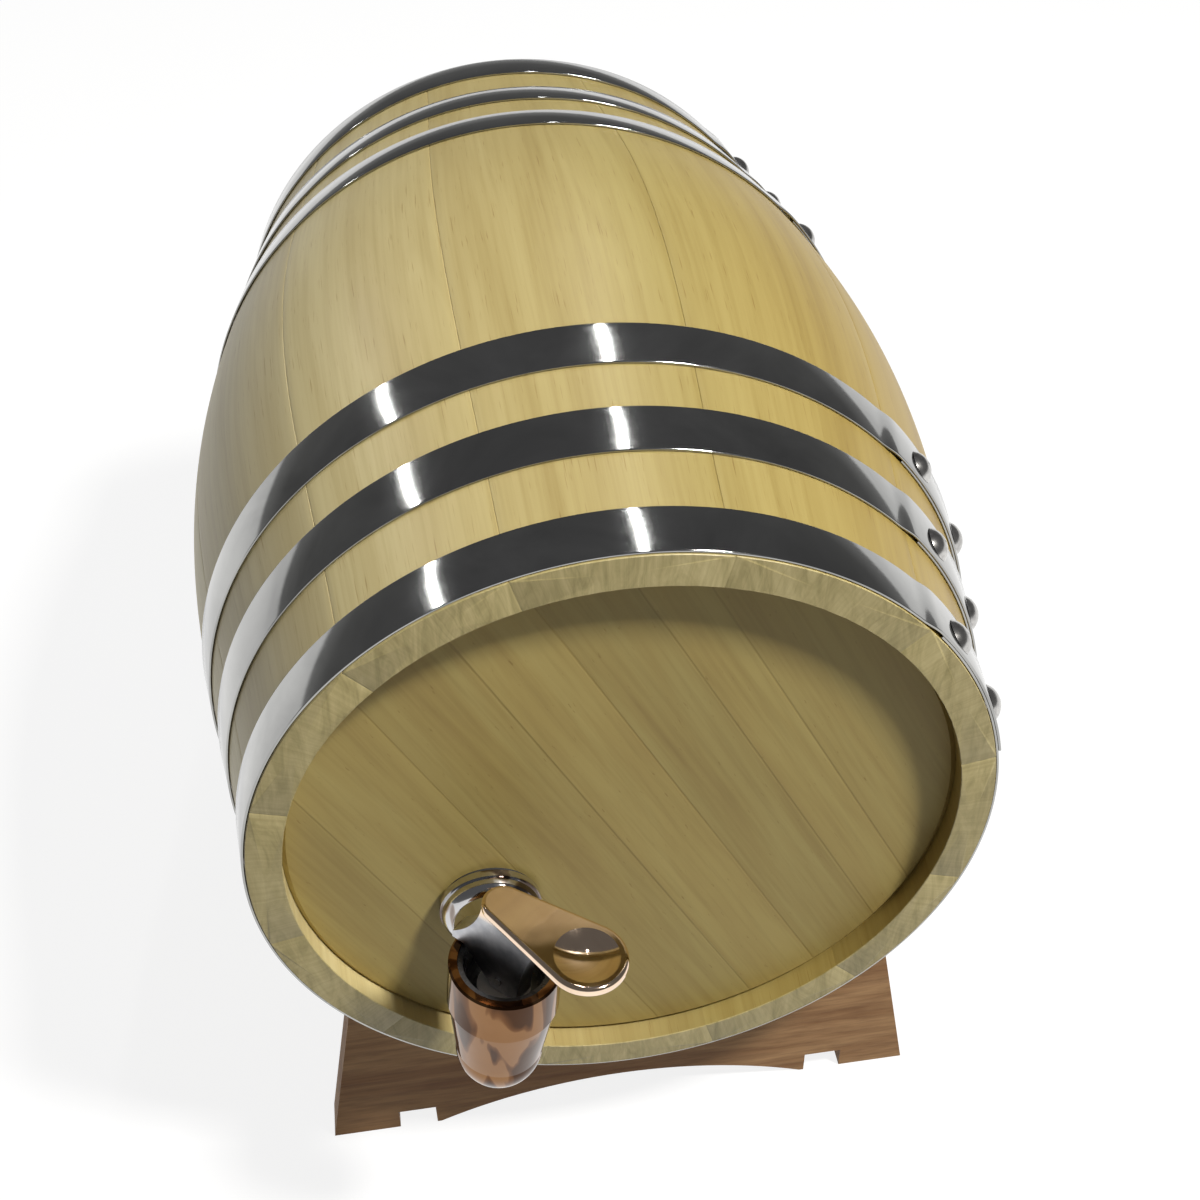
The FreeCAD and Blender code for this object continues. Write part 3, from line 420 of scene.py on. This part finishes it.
def hoop(name, outer_edge, side):
    """Columns go round the strip's section, rows along it. The strip's radius follows a straight
    cone under it, and a smooth step lifts it by its own thickness where it meets its first end."""
    first = MIDDLE + side * (HALF - outer_edge)
    second = first - side * WIDE
    angle = np.linspace(0, 2 * math.pi + LAP, 721)
    climb = np.clip((angle - 2 * math.pi + math.radians(5)) / math.radians(4.4), 0, 1)
    climb = THICK * 1.02 * climb ** 2 * (3 - 2 * climb)
    corner = np.linspace(0, math.pi / 2, 4)
    r = ROUND
    s = np.concatenate([WIDE - r + r * np.sin(corner), WIDE - r + r * np.cos(corner),
                        r - r * np.sin(corner), r - r * np.cos(corner)])
    h = np.concatenate([r - r * np.cos(corner), THICK - r + r * np.sin(corner),
                        THICK - r + r * np.cos(corner), r - r * np.sin(corner)])
    y = first + (second - first) * s / WIDE
    base = barrel(first) + (barrel(second) - barrel(first)) * s / WIDE + AIR
    radius = base[None, :] + h[None, :] + climb[:, None]
    turn = np.broadcast_to(LAP_START + angle[:, None], radius.shape)
    points = round_cask(radius, turn, np.broadcast_to(y, radius.shape))
    caps = [points[k].mean(0)[None, None].repeat(len(s), 1) for k in (0, -1)]
    points = np.concatenate((caps[0], points, caps[1]))
    run = np.concatenate(([0], angle, angle[-1:])) * 0.12
    uv = np.stack(np.broadcast_arrays(run[:, None], s[None, :]), -1)
    piece = surface(name, points, wrap_columns=True, uv=uv, flip=side > 0)
    piece.data.set_sharp_from_angle(angle=math.radians(50))
    return piece


hoops = {}
for end_name, side in (("front", -1), ("rear", 1)):
    for kind, start in (("chime", 0.0004), ("quarter", 0.0366), ("bilge", 0.0695)):
        piece = hoop("%s_%s_hoop_strip" % (end_name, kind), start, side)
        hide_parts("%s_%s_hoop" % (end_name, kind))
        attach(piece, "cask")
        hoops[piece.name] = piece
print("hoops:", list(hoops))

# %% [markdown]
# ## Polished steel
# The hoops are rolled and polished, which leaves fine lines along the strip and a nearly clear
# mirror. The rivets' domed heads are set with a hammer, so they are a little dented.

# %% Polished steel for hoops and rivets
hoop_steel, tree, shader = blank("hoop_steel")
grain = grain_map(tree)
where = object_place(tree)
lines = drawn_out(tree, grain, (25, 2200, 1), 4.0, 0.7)
cloud = noise(tree, where, 28.0, 4.0, 0.6, 0.5)
tree.links.new(ramp(tree, cloud, [(0.3, (0.32, 0.32, 0.313)), (0.7, (0.47, 0.47, 0.457))]),
               shader.inputs["Base Color"])
shader.inputs["Metallic"].default_value = 1.0
dull = rescale(tree, maths(tree, "ADD", cloud, lines), 0.6, 1.4, 0.05, 0.12)
tree.links.new(dull, shader.inputs["Roughness"])
tree.links.new(bumps(tree, lines, 0.05, 0.0001), shader.inputs["Normal"])
for piece in hoops.values():
    piece.data.materials.append(hoop_steel)

rivet_steel, tree, shader = blank("rivet_steel")
where = object_place(tree)
dents = noise(tree, where, 420.0, 3.0, 0.6)
tree.links.new(ramp(tree, dents, [(0.35, (0.42, 0.41, 0.40)), (0.6, (0.6, 0.59, 0.57))]),
               shader.inputs["Base Color"])
shader.inputs["Metallic"].default_value = 1.0
shader.inputs["Roughness"].default_value = 0.2
tree.links.new(bumps(tree, dents, 0.15, 0.0002), shader.inputs["Normal"])
finish_with(rivet_steel, "hoop_rivets")

# %% [markdown]
# ## The cradle's wood
# The cradle is plain dark reddish-brown board, its grain level from side to side. The same recipe,
# in other tones, serves the dowels and the bung.


# %% Cradle, dowels and bung
def board_wood(name, dark, light, scale, rough):
    """Streaks drawn out along the axis whose scale is small."""
    material, tree, shader = blank(name)
    where = object_place(tree)
    wide = drawn_out(tree, where, scale, 4.0, 0.6, 0.7)
    fine_scale = tuple(6 * s for s in scale)
    fine = drawn_out(tree, where, fine_scale, 5.0, 0.65)
    colour = ramp(tree, wide, [(0.28, dark), (0.7, light)])
    colour = tint(tree, colour, fine, [(0.3, (0.66, 0.62, 0.6)), (0.6, (1, 1, 1))])
    tree.links.new(colour, shader.inputs["Base Color"])
    shader.inputs["Roughness"].default_value = rough
    shader.inputs["Specular IOR Level"].default_value = 0.25
    tree.links.new(bumps(tree, fine, 0.25, 0.0005), shader.inputs["Normal"])
    return material


cradle_wood = board_wood("cradle_wood", (0.25, 0.107, 0.036), (0.60, 0.36, 0.175), (9, 60, 75), 0.6)
finish_with(cradle_wood, "front_saddle", "rear_saddle")
rail_wood = board_wood("rail_wood", (0.24, 0.103, 0.035), (0.56, 0.335, 0.16), (60, 9, 75), 0.6)
finish_with(rail_wood, "left_rail", "right_rail")
finish_with(board_wood("dowel_wood", (0.42, 0.28, 0.13), (0.58, 0.42, 0.22), (300, 14, 300), 0.6),
            "cradle_dowels")
finish_with(board_wood("bung_wood", (0.40, 0.25, 0.10), (0.56, 0.38, 0.17), (90, 90, 14), 0.5),
            "bung")

# %% [markdown]
# ## The tap's metal
# The tap is plated and polished like a mirror. In the photograph it is full of the warm colour of
# the wood about it, with dark bands. A pale studio has none of that warmth, so a painted reflection
# stands in for it: the metal's colour is warm on the cup and rose on the lever's paddle, with
# painted dark reflection bands on the cup, and stays the chrome's own cool grey at the flange
# against the head.


# %% Plating
def plating(name, warm, cool, from_y=-0.11, to_y=-0.13, reflection_band_strength=0.0):
    """A mirror whose tone turns from cool at one place along Y to warm at another; the warm tone is
    a painted reflection. Bands are upright streaks of painted dark reflection, from none at 0 to
    strong at 1."""
    material, tree, shader = blank(name)
    where = object_place(tree)
    y = add(tree, "ShaderNodeSeparateXYZ", {0: where}).outputs[1]
    cloud = noise(tree, where, 60.0, 3.0, 0.5, 0.6)
    wavy = maths(tree, "ADD", y, maths(tree, "MULTIPLY", cloud, 0.004))
    # Along Y the tone turns from the chrome's own cool grey to a warm painted reflection.
    place = rescale(tree, wavy, from_y, to_y, interpolation_type="SMOOTHSTEP")
    tone = ramp(tree, place, [(0.0, cool), (1.0, warm)])
    tone = tint(tree, tone, cloud, [(0.35, (0.9, 0.88, 0.86)), (0.65, (1, 1, 1))])
    # Dark upright streaks laid on the metal: painted dark reflections of the surroundings.
    painted_reflection_bands = ramp(tree, drawn_out(tree, where, (95, 95, 22), 2.0, 0.4, 0.8),
                   [(0.40, (0.16, 0.11, 0.085)), (0.455, (0.55, 0.46, 0.40)), (0.48, (1, 1, 1))])
    tone = blend(tree, reflection_band_strength, tone, blend(tree, 1.0, tone, painted_reflection_bands, "MULTIPLY"))
    tree.links.new(tone, shader.inputs["Base Color"])
    shader.inputs["Metallic"].default_value = 1.0
    marks = noise(tree, where, 900.0, 4.0, 0.7)
    gloss = rescale(tree, marks, to_min=0.03, to_max=0.11)
    tree.links.new(gloss, shader.inputs["Roughness"])
    waves = noise(tree, where, 55.0, 2.0, 0.4)
    tree.links.new(bumps(tree, waves, 0.22, 0.001), shader.inputs["Normal"])
    return material


# The warm tone of the cup and the rose tone of the lever's paddle are painted reflections of warm
# wood; the cool grey is the chrome's own colour.
COOL, WARM_REFLECTION = (0.62, 0.62, 0.63), (0.27, 0.14, 0.062)
ROSE_REFLECTION, STEEL, BRASS = (0.97, 0.76, 0.58), (0.5, 0.49, 0.48), (0.72, 0.50, 0.20)
tap_chrome = plating("tap_chrome", WARM_REFLECTION, COOL, -0.124, -0.134, 0.9)
lever_chrome = plating("lever_chrome", ROSE_REFLECTION, ROSE_REFLECTION)
tree, shader = lever_chrome.node_tree, lever_chrome.node_tree.nodes["Principled BSDF"]
where = object_place(tree)
height = add(tree, "ShaderNodeSeparateXYZ", {0: where}).outputs[2]
PADDLE_DEPTH = 0.0062                   # from the lever's highest point down to the paddle's foot
paddle_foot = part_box("tap_lever")[1].z - PADDLE_DEPTH
above = rescale(tree, height, paddle_foot - 0.002, paddle_foot)
# Above the paddle's foot the lever shows the rose tone, a painted warm reflection; below it a plain
# grey satin metal tone.
plated = shader.inputs["Base Color"].links[0].from_socket
satin_cast = ramp(tree, noise(tree, where, 130.0, 4.0, 0.6),
                  [(0.35, (0.40, 0.41, 0.44)), (0.65, (0.62, 0.62, 0.64))])
tree.links.new(blend(tree, above, satin_cast, plated), shader.inputs["Base Color"])
gloss = shader.inputs["Roughness"].links[0].from_socket
tree.links.new(add(tree, "ShaderNodeMix", {"Factor": above, "A": 0.34, "B": gloss}).outputs[0],
               shader.inputs["Roughness"])
finish_with(tap_chrome, "tap_body")
finish_with(lever_chrome, "tap_lever")
pin_steel = plating("pin_steel", STEEL, STEEL)
finish_with(pin_steel, "lever_pivot_pin", "valve_stem")
finish_with(plating("nut_brass", BRASS, BRASS), "tap_lock_nut")


# %% [markdown]
# ## Rubber and plastic
# Gaskets and seals are black rubber, the bonnet is a black moulded bowl, and the washer is a pale
# slippery plastic. A mould leaves a fine grain and an uneven gloss, so one recipe serves them all.

# %% Rubber and plastic
def moulded(name, dark, light, rough, grain):
    """A moulded stuff: two close tones, a fine grain in its surface and an uneven gloss."""
    material, tree, shader = blank(name)
    where = object_place(tree)
    cloud = noise(tree, where, 150.0, 4.0, 0.6)
    tree.links.new(ramp(tree, cloud, [(0.3, dark), (0.7, light)]), shader.inputs["Base Color"])
    gloss = rescale(tree, cloud, to_min=rough - 0.06, to_max=rough + 0.08)
    tree.links.new(gloss, shader.inputs["Roughness"])
    fine = noise(tree, where, grain, 2.0)
    tree.links.new(bumps(tree, fine, 0.08, 0.0002), shader.inputs["Normal"])
    return material


finish_with(moulded("gasket_rubber", (0.018, 0.018, 0.018), (0.035, 0.034, 0.033), 0.6, 900),
            "tap_outer_gasket", "tap_inner_gasket")
finish_with(moulded("seal_rubber", (0.02, 0.02, 0.02), (0.04, 0.038, 0.036), 0.5, 900),
            "stem_o_ring", "valve_seal")
finish_with(moulded("bonnet_plastic", (0.026, 0.026, 0.028), (0.05, 0.05, 0.053), 0.26, 700),
            "tap_bonnet")
finish_with(moulded("washer_plastic", (0.55, 0.55, 0.52), (0.68, 0.67, 0.64), 0.4, 600),
            "lever_wear_washer")

# %% [markdown]
# ## The valve's spring
# Inside the cup a steel coil presses the seal onto its seat. The imported part has it as a plain
# sleeve. Here it is a wire carried along a helix, with flat closed turns at both ends.

# %% Make the spring
LEAN = math.radians(6.0)
low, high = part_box("valve_spring")
axis = Vector((math.sin(LEAN), 0, math.cos(LEAN)))
base = Vector((-0.0413, -0.1506125, 0.1395))     # a point on the cup's axis
SLEEVE = 0.0049                         # radius of the sleeve that the coil replaces
side_reach = SLEEVE * math.sin(LEAN)
foot_height = (low.z + side_reach - base.z) / axis.z
head_height = (high.z - side_reach - base.z) / axis.z
wire, coil = 0.00048, 0.0044            # radius of the wire, and of the coil's middle line
TURNS, CLOSED = 6.0, 0.16               # turns in all, and the share of them closed at each end
turns = np.linspace(0, 1, 361)
rise = np.clip((turns - CLOSED) / (1 - 2 * CLOSED), 0, 1)
climb = foot_height + wire + rise * (head_height - foot_height - 2 * wire)
sweep = turns * 2 * math.pi * TURNS
middle = np.stack([coil * np.cos(sweep), coil * np.sin(sweep), climb], -1)
outward = np.stack([np.cos(sweep), np.sin(sweep), 0 * sweep], -1)
circle = np.linspace(0, 2 * math.pi, 11)[:-1]
girth = np.concatenate(([0], np.full(361, wire), [0]))
middle = np.concatenate((middle[:1], middle, middle[-1:]))
outward = np.concatenate((outward[:1], outward, outward[-1:]))
ring = (np.cos(circle)[None, :, None] * outward[:, None]
        + np.sin(circle)[None, :, None] * np.array((0, 0, 1.0)))
tube = middle[:, None] + girth[:, None, None] * ring
lean = np.array(((math.cos(LEAN), 0, math.sin(LEAN)),
                 (0, 1, 0),
                 (-math.sin(LEAN), 0, math.cos(LEAN))))
spring = surface("valve_spring_coil", tube @ lean.T + np.array(base), wrap_columns=True, flip=True)
spring.data.materials.append(pin_steel)
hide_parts("valve_spring")
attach(spring, "cask")
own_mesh(spring)
print("spring from", round(foot_height * 1000, 2), "to", round(head_height * 1000, 2),
      "mm on the cup's axis")

# %% [markdown]
# ## Floor and light
# A pale floor carries the cask, and one soft lamp shines from above, in front and to the right, as
# the shadow on the recessed head shows. Two narrow strips behind the cask draw the two bright
# streaks across every hoop.

# %% Floor
FLOOR_HALF = 6.0
steps = np.linspace(-FLOOR_HALF, FLOOR_HALF, 9)
xs, ys = np.meshgrid(steps, steps)
floor = surface("floor", np.stack([xs, ys, 0 * xs - 0.0001], -1))
floor_paint, tree, shader = blank("floor_paint")
path = add(tree, "ShaderNodeLightPath")
seen = maths(tree, "MAXIMUM", path.outputs["Is Camera Ray"], path.outputs["Is Glossy Ray"])
seen = maths(tree, "MAXIMUM", seen, path.outputs["Is Transmission Ray"])
shader.inputs["Base Color"].default_value = (0.2, 0.2, 0.2, 1)
shader.inputs["Roughness"].default_value = 0.9
shader.inputs["Specular IOR Level"].default_value = 0.0
shader.inputs["Emission Color"].default_value = (1, 1, 1, 1)
tree.links.new(maths(tree, "MULTIPLY", seen, 0.85), shader.inputs["Emission Strength"])
floor.data.materials.append(floor_paint)
print("floor reaches", FLOOR_HALF, "m to each side")

# %% World and lamps
world = bpy.data.worlds.new("studio")
bpy.context.scene.world = world
world.use_nodes = True
tree = world.node_tree
up = add(tree, "ShaderNodeSeparateXYZ", {0: add(tree, "ShaderNodeTexCoord").outputs["Generated"]})
sky = ramp(tree, up.outputs[2], [(0.0, (0.24, 0.24, 0.24)), (0.12, (0.13, 0.13, 0.13)),
                                 (0.45, (0.105, 0.105, 0.107)), (1.0, (0.105, 0.105, 0.109))])
tree.links.new(sky, tree.nodes["Background"].inputs["Color"])
tree.nodes["Background"].inputs["Strength"].default_value = 1.0

centre = Vector((0, 0.02, 0.17))


def lamp(name, direction, along, reach, size, size_y, power, tone=(1, 1, 1)):
    """A flat lamp at a distance from the cask's centre, facing it, its longer side laid along."""
    light = bpy.data.lights.new(name, "AREA")
    light.shape = "RECTANGLE"
    light.size, light.size_y, light.energy, light.color = size, size_y, power, tone
    holder = bpy.data.objects.new(name, light)
    place = Vector(direction).normalized()
    holder.location = centre + place * reach
    across = Vector(along).cross(place).normalized()
    frame_of_lamp = Matrix((across, place.cross(across), place)).transposed()
    holder.rotation_euler = frame_of_lamp.to_euler()
    bpy.context.scene.collection.objects.link(holder)


lamp("key", (0.44, -0.36, 0.82), (0, 1, 0), 1.6, 0.2, 0.2, 31.5, (1.0, 0.98, 0.94))
lamp("strip_left", (-0.597, 0.545, 0.588), (0.23, 0.79, -0.52), 1.8, 0.034, 1.1, 4.0)
lamp("strip_right", (0.188, 0.535, 0.823), (-0.03, 0.83, -0.54), 1.8, 0.034, 1.1, 4.0)
